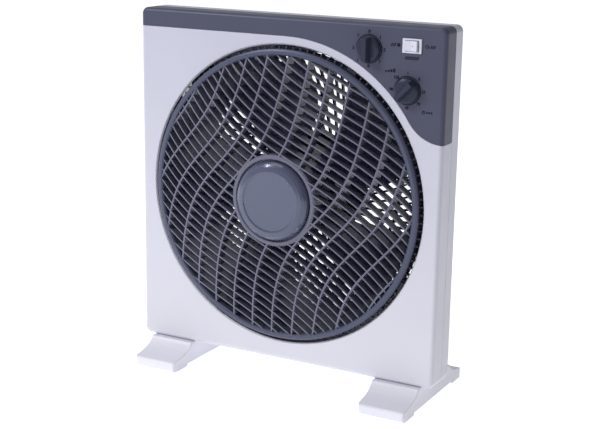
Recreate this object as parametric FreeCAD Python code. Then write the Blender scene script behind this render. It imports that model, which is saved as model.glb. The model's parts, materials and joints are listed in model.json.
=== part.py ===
import FreeCAD, Part
import os
from math import atan, cos, degrees, hypot, log, pi, radians, sin, sqrt, tan
from FreeCAD import Vector

# Box fan with a rotating louver in front and a round duct behind.
# Millimetres. X to the right seen from the front, Y to the back, Z up from the floor.

# ---- case
CASE_W = 365.0            # width over the side walls
CASE_H = 379.5            # height of the case without its feet
FOOT_H = 25.5             # the feet lift the case by this much
FACE_Y = -39.0            # front face
SEAM_Y = -15.0            # joint between the front and the rear housing
BACK_Y = 6.0              # flat back of the rear housing, around the duct
WALL = 2.5
CORNER_R = 7.0            # corners of the outline
EDGE_R = 4.5              # rounding of the front and back edges
SEAM_GAP = 0.15           # half of the fine joint between two mouldings
TOP_Z = FOOT_H + CASE_H
AXIS_Z = FOOT_H + 186.1   # height of the fan and louver axis

# ---- control panel outline, about the fan axis
PANEL_R = 173.4           # the lower edge runs round the louver at this radius
PANEL_SWEEP_R = 44.0      # reverse sweep down to the right side
PANEL_SWEEP_DEG = 33.3    # where the two arcs meet

# ---- louver
OPENING_R = 164.0         # round opening of the front housing
RIM_OUT_R = 160.0
RIM_IN_R = 153.0
RIM_Y = FACE_Y - 5.0      # the rim stands 5 mm proud of the face
RIM_LIP_Y = FACE_Y - 0.5  # behind this the rim is thinner, and the clips reach in
RIM_BODY_R = 158.5
RIM_BACK_Y = FACE_Y + 19.0
DOME_R = 615.0            # sphere that the louver's front lies on
LOUVER_DEPTH = 15.0
BAND_Y = FACE_Y - 24.0    # plane in which the louver's pattern is drawn
LEAN_X, LEAN_Z = -0.065, -0.11   # the vanes lean this much per mm of depth
VANE_T = 1.6
VANE_PITCH = 9.2
RIB_T = 1.9
HUB_OUT_R = 50.0
HUB_IN_R = 44.6
CAP_R = 43.2
CAP_FRONT_Y = FACE_Y - 30.5

# ---- louver drive: a ring of fine teeth on the rim, and a pinion of wide ones
RING_TEETH = 120
PINION_TEETH = 10
MODULE = 160.6 * 2 / RING_TEETH
RING_TIP_R = 162.4
RING_Y0, RING_Y1 = FACE_Y + 2.8, FACE_Y + 4.8
PINION_Y0, PINION_Y1 = FACE_Y + 2.9, FACE_Y + 5.4
PINION_DEG = 140.0
LOUVER_MOTOR_Y0 = -19.0
CLIP_DEGS = (61.0, 151.0, 241.0, 331.0)
CLIP_IN_R = 159.0         # the finger runs on the rim behind its lip
CLIP_STUD_R = 167.0
CLIP_STUD_OFF = 7.5
CLIP_PLATE_Y = FACE_Y + WALL + 0.02
CLIP_T = 1.6

# ---- fan and motor
DUCT_R = 155.5
DUCT_WALL = 2.5
DUCT_END_Y = 52.0
BLADES = 5
BLADE_TIP_R = 143.0
BLADE_PHASE = 28.2
FAN_HUB_R = 34.0
FAN_HUB_Y0, FAN_HUB_Y1 = -28.0, 8.0
SHAFT_R = 4.0
MOTOR_Y0, MOTOR_Y1 = 13.0, 47.4
STATOR_R = 40.0
BELL_R = 43.0
MOTOR_BOLT_R = 47.4
MOTOR_BOLT_DEGS = (45.0, 135.0, 225.0, 315.0)
GRILLE_Y0, GRILLE_Y1 = 47.5, 51.5
GRILLE_SWIRL_DEG = 19.5
GRILLE_SCREW_R = DUCT_R - 3.2
GRILLE_SCREW_DEGS = (45.0, 135.0, 225.0, 315.0)

# ---- controls, x and z of their centres
SPEED_XZ = (97.5, FOOT_H + 353.0)
TIMER_XZ = (141.5, FOOT_H + 314.0)
ROCKER_XZ = (145.3, FOOT_H + 359.3)
KNOB_R = 13.5
PANEL_BACK = WALL + 0.15  # the carrying wall starts this far behind the face
BACKING_T = 1.8
BACKING_Y = FACE_Y + PANEL_BACK + BACKING_T + 0.1   # the switches sit on this plane
ROCKER_BACK_Y = FACE_Y + 16.0
ROCKER_PIVOT_Y = FACE_Y + 1.5
ROCKER_TRAVEL = 15.0

# ---- feet
FOOT_X0, FOOT_X1 = 114.8, 168.8
FOOT_REACH = 79.0         # half of the feet's length, front to back
TOE_LEN = 28.0
TOE_STEP = 2.7            # the sole between the toes is this much higher

# ---- screws: x and z of the eight that join the two housings
CASE_SCREWS = [(sx * x, z) for sx in (-1, 1) for x, z in
               ((170.0, 38.0), (170.0, 392.0), (66.0, 36.0), (66.0, 394.0))]
PANEL_SCREWS = [(-120.0, 394.5), (-30.0, 394.5), (40.0, 394.5), (168.0, 318.0)]
FOOT_SCREW_YS = (-27.0, -4.5)
FOOT_SCREW_X = (FOOT_X0 + FOOT_X1) / 2
SCREW_R = 2.0
GRIP_W, GRIP_Z0, GRIP_Z1, GRIP_DEPTH = 96.0, 378.0, 396.0, 16.0
GLAND_XZ = (150.0, 78.0)

Y_AXIS = Vector(0, 1, 0)
nodes = {}


# ------------------------------------------------------------------ helpers
def polar(radius, deg):
    """Point in the XZ plane about the fan axis."""
    return radius * cos(radians(deg)), AXIS_Z + radius * sin(radians(deg))


def box(x0, x1, y0, y1, z0, z1):
    return Part.makeBox(x1 - x0, y1 - y0, z1 - z0, Vector(x0, y0, z0))


def rod(radius, y0, y1, at=(0.0, AXIS_Z)):
    """Cylinder along Y."""
    return Part.makeCylinder(radius, y1 - y0, Vector(at[0], y0, at[1]), Y_AXIS)


def tube(outer, inner, y0, y1, at=(0.0, AXIS_Z)):
    return rod(outer, y0, y1, at).cut(rod(inner, y0 - 1, y1 + 1, at))


def fuse(shapes):
    shapes = list(shapes)
    return shapes[0].multiFuse(shapes[1:]) if len(shapes) > 1 else shapes[0]


def cut(shape, tools):
    return shape.cut(list(tools))


def spun(points, at=(0.0, AXIS_Z)):
    """Solid of revolution about the Y line through at, from (radius, y) points."""
    wire = Part.makePolygon([Vector(at[0] + r, y, at[1]) for r, y in points + points[:1]])
    return Part.Face(wire).revolve(Vector(at[0], 0, at[1]), Y_AXIS, 360)


def rounded(shape, radius, wanted):
    """Fillet the edges for which wanted(edge bounding box) is true."""
    return shape.makeFillet(radius, [e for e in shape.Edges if wanted(e.BoundBox)])


def moved(shape, x, y, z):
    copy = shape.copy()
    copy.translate(Vector(x, y, z))
    return copy


def case_block(inset, y0, y1, round_y, corner_r, edge_r):
    """Block inside the case outline, its corners rounded, and the edges of the face at round_y."""
    block = box(-CASE_W / 2 + inset, CASE_W / 2 - inset, y0, y1, FOOT_H + inset, TOP_Z - inset)
    block = rounded(block, corner_r, lambda b: b.YLength > 1)
    return rounded(block, edge_r, lambda b: abs(b.YMin - round_y) < 0.01 and b.YLength < 0.01)


def panel_zone(shift):
    """Everything above the control panel's lower edge. A larger shift makes it smaller."""
    big, small = PANEL_R + shift, PANEL_SWEEP_R - shift
    span = PANEL_R + PANEL_SWEEP_R
    turn = radians(PANEL_SWEEP_DEG)
    cx, cz = span * cos(turn), AXIS_Z + span * sin(turn)

    def at(x, z):
        return Vector(x, -60, z)

    meet = at(big * cos(turn), AXIS_Z + big * sin(turn))
    half = (radians(90) + turn) / 2
    sweep = (turn + pi + 1.5 * pi) / 2
    edges = [
        Part.LineSegment(at(-200, AXIS_Z + big), at(0, AXIS_Z + big)).toShape(),
        Part.Arc(at(0, AXIS_Z + big), at(big * cos(half), AXIS_Z + big * sin(half)), meet).toShape(),
        Part.Arc(meet, at(cx + small * cos(sweep), cz + small * sin(sweep)), at(cx, cz - small)).toShape(),
        Part.makePolygon([at(cx, cz - small), at(200, cz - small), at(200, 430), at(-200, 430),
                          at(-200, AXIS_Z + big)])]
    wire = Part.Wire([e for part in edges for e in part.Edges])
    return Part.Face(wire).extrude(Vector(0, 70, 0))


def screw(at, y_head, y_tip, shank_r, head_r, head_t):
    """Pan-head screw along Y with a cross recess: its head lies behind y_head, its shank runs to y_tip."""
    top = y_head + head_t
    arm, half = head_r * 0.6, 0.4
    recess = [box(at[0] - x, at[0] + x, top - 0.8, top + 1, at[1] - z, at[1] + z)
              for x, z in ((arm, half), (half, arm))]
    body = rod(head_r, y_head, top, at).fuse(rod(shank_r, y_tip, y_head + 0.1, at))
    return cut(body, recess)


def turned(shape, deg):
    """The shape turned clockwise about the Y axis through the origin, then lifted to the fan axis."""
    shape.rotate(Vector(0, 0, 0), Y_AXIS, deg)
    return moved(shape, 0, 0, AXIS_Z)


# ------------------------------------------------------------------ case
def make_front_housing():
    outer = case_block(0, FACE_Y, SEAM_Y - SEAM_GAP, FACE_Y, CORNER_R, EDGE_R)
    inner = case_block(WALL, FACE_Y + WALL, 0, FACE_Y + WALL, CORNER_R - WALL, EDGE_R - WALL)
    shell = outer.cut(inner)
    panel = shell.common(panel_zone(SEAM_GAP))
    skin = shell.cut(panel_zone(-SEAM_GAP))

    # a thinner wall runs on behind the control panel and carries it
    step, inside = PANEL_BACK, PANEL_BACK + BACKING_T
    backing_end = SEAM_Y - 3.6
    under = case_block(step, FACE_Y + step, backing_end, FACE_Y + step, CORNER_R - step, EDGE_R - step)
    under_in = case_block(inside, FACE_Y + inside, 0, FACE_Y + inside, CORNER_R - inside, 0.4)
    backing = under.cut(under_in).common(panel_zone(-3.0))
    skin_mid = 1.5
    joiner = case_block(skin_mid, FACE_Y + skin_mid, backing_end, FACE_Y + skin_mid,
                        CORNER_R - skin_mid, EDGE_R - skin_mid)
    joiner = joiner.cut(under_in).common(panel_zone(-3.0)).cut(panel_zone(-SEAM_GAP))

    adds = [backing, joiner]
    for at in CASE_SCREWS:
        adds.append(rod(4.4, wall_inside(at), SEAM_Y - 0.6, at))
    stud_end = CLIP_PLATE_Y + CLIP_T
    for at in clip_studs():
        adds.append(rod(1.35, FACE_Y + skin_mid, stud_end + 0.1, at))
        adds.append(rod(2.4, stud_end + 0.02, stud_end + 1.1, at))
    for at in louver_motor_ears():
        adds.append(rod(3.2, FACE_Y + skin_mid, LOUVER_MOTOR_Y0 - 0.05, at))
    for side in (-1, 1):
        adds.append(Part.makeCylinder(4.2, 12, Vector(side * FOOT_SCREW_X, FOOT_SCREW_YS[0], FOOT_H + 1)))
    body = fuse([skin] + adds)

    mouth = spun([(0, FACE_Y - 1), (OPENING_R + 2.4, FACE_Y - 1), (OPENING_R + 1.4, FACE_Y),
                  (OPENING_R, FACE_Y + 1.8), (OPENING_R, 0), (0, 0)])
    holes = [mouth]
    holes += [rod(SCREW_R + 0.05, SEAM_Y - 14, 0, at) for at in CASE_SCREWS]
    holes += [rod(3.0, FACE_Y, -20, at) for at in PANEL_SCREWS]
    holes += [rod(1.55, LOUVER_MOTOR_Y0 - 9, 0, at) for at in louver_motor_ears()]
    holes += [rod(1.5, FACE_Y + WALL, -20, at) for at in control_screw_spots()]
    holes += control_holes(1.0)
    for side in (-1, 1):
        holes.append(Part.makeCylinder(1.85, 12, Vector(side * FOOT_SCREW_X, FOOT_SCREW_YS[0], FOOT_H - 1)))
    nodes["front_housing"] = cut(body, holes)

    studs = [rod(2.6, FACE_Y + skin_mid, FACE_Y + inside - 0.15, at) for at in PANEL_SCREWS]
    pilot = [rod(1.25, FACE_Y + 1.2, 0, at) for at in PANEL_SCREWS]
    nodes["control_panel"] = cut(fuse([panel] + studs), pilot + control_holes(0.0))
    nodes["panel_screws"] = Part.makeCompound(
        [screw(at, FACE_Y + inside + 0.02, FACE_Y + 1.6, 1.2, 4.2, 1.6) for at in PANEL_SCREWS])


def wall_inside(at):
    """Y where a post may start inside the front wall at this place."""
    in_zone = hypot(at[0], at[1] - AXIS_Z) > PANEL_R and at[1] > AXIS_Z + 100
    return FACE_Y + (WALL + 0.9 if in_zone else 1.5)


def control_holes(extra):
    holes = [rod(4.6 + extra, FACE_Y - 5, -20, at) for at in (SPEED_XZ, TIMER_XZ)]
    x, z = ROCKER_XZ
    holes.append(box(x - 9.6, x + 9.6, FACE_Y - 5, -20, z - 6.6, z + 6.6))
    return holes


def make_rear_housing():
    outer = case_block(0, SEAM_Y + SEAM_GAP, BACK_Y, BACK_Y, CORNER_R, EDGE_R)
    inner = case_block(WALL, SEAM_Y - 4, BACK_Y - WALL, BACK_Y - WALL, CORNER_R - WALL, EDGE_R - WALL)
    shell = outer.cut(inner)

    def band(inset, y0, y1):
        block = box(-CASE_W / 2 + inset, CASE_W / 2 - inset, y0, y1, FOOT_H + inset, TOP_Z - inset)
        return rounded(block, CORNER_R - inset, lambda b: b.YLength > 1)

    tongue = band(WALL + 0.2, SEAM_Y - 3, SEAM_Y + 3).cut(band(WALL + 1.6, SEAM_Y - 4, SEAM_Y + 4))
    root = band(1.0, SEAM_Y + SEAM_GAP, SEAM_Y + 3).cut(band(WALL + 1.6, SEAM_Y - 4, SEAM_Y + 4))
    duct = spun([(DUCT_R, -2), (DUCT_R + DUCT_WALL, -2), (DUCT_R + DUCT_WALL, DUCT_END_Y - 1.4),
                 (DUCT_R + DUCT_WALL - 1.0, DUCT_END_Y), (DUCT_R, DUCT_END_Y), (DUCT_R, GRILLE_Y0 - 0.2),
                 (DUCT_R - 5, GRILLE_Y0 - 0.2), (DUCT_R - 5, GRILLE_Y0 - 2.4), (DUCT_R, GRILLE_Y0 - 6)])
    adds = [tongue, root, duct]
    adds += [rod(6.2, SEAM_Y + 0.2, BACK_Y - 1.5, at) for at in CASE_SCREWS]
    adds.append(box(-GRIP_W / 2 - 2, GRIP_W / 2 + 2, BACK_Y - GRIP_DEPTH - 2, BACK_Y - 1,
                    GRIP_Z0 - 2, GRIP_Z1 + 2))
    grille_spots = [polar(GRILLE_SCREW_R, deg) for deg in GRILLE_SCREW_DEGS]
    adds += [rod(4.0, GRILLE_Y0 - 14, GRILLE_Y0 - 0.2, at) for at in grille_spots]
    for side in (-1, 1):
        adds.append(Part.makeCylinder(4.2, 12, Vector(side * FOOT_SCREW_X, FOOT_SCREW_YS[1], FOOT_H + 1)))
    body = fuse([shell.cut(rod(DUCT_R + 0.5, -30, 30))] + adds)

    grip = rounded(box(-GRIP_W / 2, GRIP_W / 2, BACK_Y - GRIP_DEPTH, BACK_Y + 1, GRIP_Z0, GRIP_Z1),
                   6.0, lambda b: b.YLength > 1)
    holes = [grip]
    holes += [rod(SCREW_R + 0.2, SEAM_Y - 1, BACK_Y, at) for at in CASE_SCREWS]
    holes += [rod(4.4, 0, BACK_Y + 1, at) for at in CASE_SCREWS]
    holes += [rod(1.45, GRILLE_Y0 - 12, GRILLE_Y0 + 1, at) for at in grille_spots]
    holes.append(rod(6.1, BACK_Y - 6, BACK_Y + 1, GLAND_XZ))
    for side in (-1, 1):
        holes.append(Part.makeCylinder(1.85, 12, Vector(side * FOOT_SCREW_X, FOOT_SCREW_YS[1], FOOT_H - 1)))
    nodes["rear_housing"] = cut(body, holes)
    nodes["case_screws"] = Part.makeCompound(
        [screw(at, 0.05, SEAM_Y - 12, SCREW_R, 3.8, 2.4) for at in CASE_SCREWS])


def spiral_slots(r0, r1, count, bar, swirl_deg):
    """Curved slots between spiral bars, as wires in the plane Y = GRILLE_Y0."""
    wires = []
    steps = 5
    lean = tan(radians(swirl_deg))
    for i in range(count):
        start = 2 * pi * i / count
        sides = []
        for edge in (0, 1):
            pts = []
            for k in range(steps):
                r = r0 + (r1 - r0) * k / (steps - 1)
                half = bar / 2 / cos(radians(swirl_deg)) / r
                turn = start + lean * log(r / r0) + (half if edge == 0 else 2 * pi / count - half)
                pts.append(Vector(r * cos(turn), GRILLE_Y0, AXIS_Z + r * sin(turn)))
            sides.append(pts)
        low, high = sides
        curves = []
        for pts in (low, high):
            spline = Part.BSplineCurve()
            spline.interpolate(pts)
            curves.append(spline.toShape())
        ends = []
        for r, a, b in ((r0, low[0], high[0]), (r1, low[-1], high[-1])):
            mid = (a + b) * 0.5
            out = Vector(mid.x, 0, mid.z - AXIS_Z)
            out = out * (r / out.Length)
            ends.append(Part.Arc(a, Vector(out.x, GRILLE_Y0, AXIS_Z + out.z), b).toShape())
        wires.append(Part.Wire([curves[0], ends[1], curves[1], ends[0]]))
    return wires


def make_rear_grille():
    rim = Part.Wire([Part.Circle(Vector(0, GRILLE_Y0, AXIS_Z), Y_AXIS, DUCT_R - 0.3).toShape()])
    slots = spiral_slots(57.0, 97.0, 46, 2.2, GRILLE_SWIRL_DEG)
    slots += spiral_slots(100.0, 147.0, 92, 2.0, GRILLE_SWIRL_DEG)
    disc = Part.Face(rim).cut(Part.makeCompound([Part.Face(w) for w in slots]))
    plate = disc.extrude(Vector(0, GRILLE_Y1 - GRILLE_Y0, 0))
    holes = [rod(2.15, 40, 60, polar(MOTOR_BOLT_R, deg)) for deg in MOTOR_BOLT_DEGS]
    holes += [rod(1.7, 40, 60, polar(GRILLE_SCREW_R, deg)) for deg in GRILLE_SCREW_DEGS]
    holes.append(rod(10.2, 40, 60))
    nodes["rear_grille"] = cut(plate, holes)
    nodes["grille_screws"] = Part.makeCompound(
        [screw(polar(GRILLE_SCREW_R, deg), GRILLE_Y1 + 0.02, GRILLE_Y0 - 9, 1.4, 3.0, 1.8)
         for deg in GRILLE_SCREW_DEGS])


# ------------------------------------------------------------------ louver
def dome_y(r):
    """Front of the louver at radius r."""
    return RIM_Y - (sqrt(DOME_R ** 2 - r ** 2) - sqrt(DOME_R ** 2 - RIM_IN_R ** 2))


def band_face(curve, s0, s1, thickness, steps):
    """Flat band of even thickness along curve(s), which gives (x, z) about the fan axis."""
    left, right = [], []
    for i in range(steps):
        s = s0 + (s1 - s0) * i / (steps - 1)
        x, z = curve(s)
        xa, za = curve(s + 0.5)
        dx, dz = xa - x, za - z
        size = hypot(dx, dz) * 2 / thickness
        left.append(Vector(x - dz / size, BAND_Y, AXIS_Z + z + dx / size))
        right.append(Vector(x + dz / size, BAND_Y, AXIS_Z + z - dx / size))
    edges = []
    for pts in (left, right):
        spline = Part.BSplineCurve()
        spline.interpolate(pts)
        edges.append(spline.toShape())
    edges.append(Part.LineSegment(left[0], right[0]).toShape())
    edges.append(Part.LineSegment(left[-1], right[-1]).toShape())
    return Part.Face(Part.Wire(Part.__sortEdges__(edges)))


def rib_curve(j):
    return lambda z: (23.7 * j + 46.0 * atan((z + 10.5 * j) / 50.0), z)


def vane_curve(k):
    ax, az = 0.552 * VANE_PITCH * k, 0.834 * VANE_PITCH * k

    def at(x):
        u = x - ax
        return x, az - 0.471 * u - 1.42e-5 * u ** 3
    return at


def span_inside(curve, limit):
    """First and last parameter at which the curve is inside the circle of radius limit."""
    inside = [s for s in range(-170, 171) if hypot(*curve(s)) < limit]
    return (inside[0], inside[-1]) if inside else None


def gear(teeth, profile, y0, y1, at, phase):
    """Gear with straight-sided teeth. profile: (half width as a share of the pitch, radius), root first."""
    shape = [(-share, r) for share, r in profile] + [(share, r) for share, r in reversed(profile)]
    points = []
    for i in range(teeth):
        for share, r in shape:
            turn = phase + 2 * pi * (i + share) / teeth
            points.append(Vector(at[0] + r * cos(turn), y0, at[1] + r * sin(turn)))
    return Part.Face(Part.makePolygon(points + points[:1])).extrude(Vector(0, y1 - y0, 0))


def pinion_at():
    return polar(MODULE * (RING_TEETH + PINION_TEETH) / 2 + 0.25, PINION_DEG)


def clip_studs():
    spots = []
    for deg in CLIP_DEGS:
        off = degrees(atan(CLIP_STUD_OFF / CLIP_STUD_R))
        spots += [polar(hypot(CLIP_STUD_R, CLIP_STUD_OFF), deg + sign * off) for sign in (-1, 1)]
    return spots


def louver_motor_ears():
    x, z = pinion_at()
    turn = radians(PINION_DEG + 90)
    return [(x + side * 29 * cos(turn), z + side * 29 * sin(turn)) for side in (-1, 1)]


def make_louver_drive():
    clips = []
    for deg in CLIP_DEGS:
        plate = box(OPENING_R - 1.2, 169.4, CLIP_PLATE_Y, CLIP_PLATE_Y + CLIP_T, -11, 11)
        finger = box(CLIP_IN_R, OPENING_R - 0.4, CLIP_PLATE_Y - 2.1, CLIP_PLATE_Y - 0.1, -5, 5)
        stem = box(OPENING_R - 1.2, OPENING_R - 0.4, CLIP_PLATE_Y - 0.2, CLIP_PLATE_Y + 0.1, -5, 5)
        clips.append(turned(fuse([plate, finger, stem]), -deg))
    studs = [rod(1.45, -60, 0, at) for at in clip_studs()]
    nodes["louver_clips"] = Part.makeCompound([cut(clip, studs) for clip in clips])

    at = pinion_at()
    mesh = PINION_DEG / 360 * RING_TEETH % 1.0        # where the ring's teeth stand at the pinion
    phase = radians(PINION_DEG + 180) + (0.5 + mesh) * 2 * pi / PINION_TEETH
    root, pitch, tip = 11.4, MODULE * PINION_TEETH / 2, 15.3
    pinion = gear(PINION_TEETH, [(0.37, root), (0.30, pitch), (0.14, tip)], PINION_Y0, PINION_Y1, at, phase)
    pinion = pinion.fuse(rod(3.5, PINION_Y1 - 0.1, LOUVER_MOTOR_Y0 - 2.0, at))
    nodes["louver_pinion"] = pinion.cut(rod(1.5, PINION_Y0 + 0.8, 0, at))
    nodes["pinion_shaft"] = rod(1.5, PINION_Y0 + 0.8, LOUVER_MOTOR_Y0 + 6, at)

    can = fuse([rod(24.5, LOUVER_MOTOR_Y0, LOUVER_MOTOR_Y0 + 16, at),
                rod(4.5, LOUVER_MOTOR_Y0 - 1.6, LOUVER_MOTOR_Y0 + 1, at)])
    can = rounded(can, 1.2, lambda b: b.XLength > 40 and b.YLength < 0.1)
    turn = PINION_DEG + 90
    ear = box(-33, 33, LOUVER_MOTOR_Y0, LOUVER_MOTOR_Y0 + 1, -4, 4)
    ear.rotate(Vector(0, 0, 0), Y_AXIS, -turn)
    ear = moved(ear, at[0], 0, at[1])
    holes = [rod(1.75, -30, 0, spot) for spot in louver_motor_ears()]
    holes.append(rod(1.55, LOUVER_MOTOR_Y0 - 3, LOUVER_MOTOR_Y0 + 7, at))
    nodes["louver_motor"] = cut(can.fuse(ear), holes)
    nodes["louver_motor_screws"] = Part.makeCompound(
        [screw(spot, LOUVER_MOTOR_Y0 + 1.05, LOUVER_MOTOR_Y0 - 8, 1.5, 2.9, 1.5)
         for spot in louver_motor_ears()])


def make_louver():
    faces = []
    for j in range(-6, 7):
        span = span_inside(rib_curve(j), RIM_IN_R + 3)
        if span:
            faces.append(band_face(rib_curve(j), span[0], span[1], RIB_T, 13))
    for n in range(-20, 20):
        span = span_inside(vane_curve(n + 0.5), RIM_IN_R + 3)
        if span and span[1] - span[0] > 12:
            faces.append(band_face(vane_curve(n + 0.5), span[0], span[1], VANE_T, 9))
    pattern = faces[0].multiFuse(faces[1:]).removeSplitter()
    reach = 50.0
    solid = pattern.extrude(Vector(LEAN_X * reach, reach, LEAN_Z * reach))
    front = Part.makeSphere(DOME_R, Vector(0, dome_y(0) + DOME_R, AXIS_Z))
    layer = tube(RIM_IN_R + 1.5, HUB_OUT_R - 1.5, FACE_Y - 30, 0).common(front)
    layer = layer.cut(moved(front, 0, LOUVER_DEPTH, 0))
    grid = solid.common(layer)

    rim = spun([(RIM_IN_R, RIM_Y + 1.5), (RIM_IN_R + 1.5, RIM_Y), (RIM_OUT_R - 2.2, RIM_Y + 0.3),
                (RIM_OUT_R - 0.6, RIM_Y + 1.3), (RIM_OUT_R, RIM_Y + 3), (RIM_OUT_R, RIM_LIP_Y),
                (RIM_BODY_R, RIM_LIP_Y), (RIM_BODY_R, RIM_BACK_Y), (RIM_IN_R, RIM_BACK_Y)])
    root = RIM_BODY_R - 0.5
    teeth = gear(RING_TEETH, [(0.13, root), (0.107, MODULE * RING_TEETH / 2), (0.085, RING_TIP_R)],
                 RING_Y0, RING_Y1, (0.0, AXIS_Z), 0.0).cut(rod(RIM_IN_R + 2, -60, 0))
    hub_y = dome_y(HUB_OUT_R)
    hub = spun([(HUB_IN_R, hub_y + 0.6), (HUB_IN_R + 1, hub_y - 0.4), (HUB_OUT_R - 1.6, hub_y - 0.4),
                (HUB_OUT_R, hub_y + 1.0), (HUB_OUT_R, hub_y + LOUVER_DEPTH),
                (HUB_IN_R, hub_y + LOUVER_DEPTH), (HUB_IN_R, hub_y + 6), (12, hub_y + 6),
                (12, hub_y + 4), (HUB_IN_R, hub_y + 4)])
    nodes["louver_grille"] = fuse([grid, rim, teeth, hub])

    cap_back = hub_y + 3.9
    top = CAP_FRONT_Y
    nodes["louver_cap"] = spun([
        (CAP_R, cap_back), (CAP_R, top + 8.6), (CAP_R - 0.8, top + 5.6), (CAP_R - 2.6, top + 3.0),
        (CAP_R - 5.2, top + 1.2), (CAP_R - 8.4, top + 0.3), (33.2, top), (32.2, top + 0.2),
        (31.4, top + 0.9), (0, top + 0.9), (0, top + 3.1), (31.4, top + 3.1), (CAP_R - 9, top + 2.7),
        (CAP_R - 4.6, top + 4.6), (CAP_R - 2.4, top + 8.6), (CAP_R - 2.4, cap_back)])


# ------------------------------------------------------------------ fan and motor
BLADE_SECTIONS = (        # radius, start and sweep in degrees, y where it starts and ends, thickness
    (31.0, -10.5, 37.9, 6.8, -10.8, 2.6),
    (60.0, -14.7, 42.1, 8.4, -12.4, 2.2),
    (95.0, -19.8, 47.4, 9.0, -13.0, 1.9),
    (125.0, -13.6, 44.3, 9.0, -13.0, 1.7),
    (BLADE_TIP_R, -9.9, 42.4, 7.9, -11.9, 1.5))


def blade_face(side):
    """Front (side -1) or back (side 1) of one swept and pitched blade."""
    rows = []
    for r, start, sweep, y_start, y_end, thick in BLADE_SECTIONS:
        row = []
        for k in range(7):
            share = k / 6
            turn = radians(start + sweep * share)
            y = y_start + (y_end - y_start) * (share + 0.14 * sin(pi * share))
            half = thick / 2 * (0.35 + 0.65 * sin(pi * share ** 0.8))
            row.append(Vector(r * cos(turn), y + side * half, r * sin(turn)))
        rows.append(row)
    surface = Part.BSplineSurface()
    surface.interpolate(rows)
    return surface.toShape()


def blade():
    front, back = blade_face(-1), blade_face(1)
    faces = [front, back]
    for edge in front.Edges:
        other = min(back.Edges, key=lambda e: (e.CenterOfMass - edge.CenterOfMass).Length)
        faces.append(Part.makeRuledSurface(edge, other))
    shell = Part.makeShell(faces)
    shell.sewShape()
    solid = Part.makeSolid(shell)
    if solid.Volume < 0:
        solid.reverse()
    return solid


def make_fan():
    hub = spun([(SHAFT_R, FAN_HUB_Y0 + 0.6), (16, FAN_HUB_Y0 + 0.6), (FAN_HUB_R - 5, FAN_HUB_Y0 + 1.2),
                (FAN_HUB_R - 1.4, FAN_HUB_Y0 + 3.4), (FAN_HUB_R, FAN_HUB_Y0 + 7), (FAN_HUB_R, FAN_HUB_Y1),
                (FAN_HUB_R - 2.4, FAN_HUB_Y1), (FAN_HUB_R - 2.4, FAN_HUB_Y0 + 6), (9, FAN_HUB_Y0 + 4.4),
                (8, FAN_HUB_Y1), (SHAFT_R, FAN_HUB_Y1)])
    blades = []
    for i in range(BLADES):
        blades.append(turned(blade(), -(BLADE_PHASE + 360.0 / BLADES * i)))
    ribs = []
    for i in range(6):
        web = box(7.5, FAN_HUB_R - 2, FAN_HUB_Y0 + 5, FAN_HUB_Y1 - 8, -0.8, 0.8)
        ribs.append(turned(web, 60.0 * i))
    core = rod(FAN_HUB_R - 2.4, FAN_HUB_Y0 + 5.2, 30)
    fan = fuse([hub] + [b.cut(core) for b in blades] + ribs)
    pin_y = FAN_HUB_Y1 - 3
    nodes["fan_blade"] = fan.cut(box(-9, 9, pin_y - 1.35, FAN_HUB_Y1 + 1, AXIS_Z - 1.35, AXIS_Z + 1.35))
    pin = Part.makeCylinder(1.25, 15, Vector(-7.5, pin_y, AXIS_Z), Vector(1, 0, 0))
    nodes["drive_pin"] = pin
    nodes["motor_shaft"] = rod(SHAFT_R, FAN_HUB_Y0 - 5, MOTOR_Y1 + 1).cut(pin)
    nodes["blade_nut"] = spun([(SHAFT_R, FAN_HUB_Y0 + 0.4), (15, FAN_HUB_Y0 + 0.4), (15, FAN_HUB_Y0 - 1.4),
                               (13, FAN_HUB_Y0 - 4.4), (8.6, FAN_HUB_Y0 - 7), (3, FAN_HUB_Y0 - 7.9),
                               (0, FAN_HUB_Y0 - 7.9), (0, FAN_HUB_Y0 - 5.1), (SHAFT_R, FAN_HUB_Y0 - 5.1)])


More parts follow.
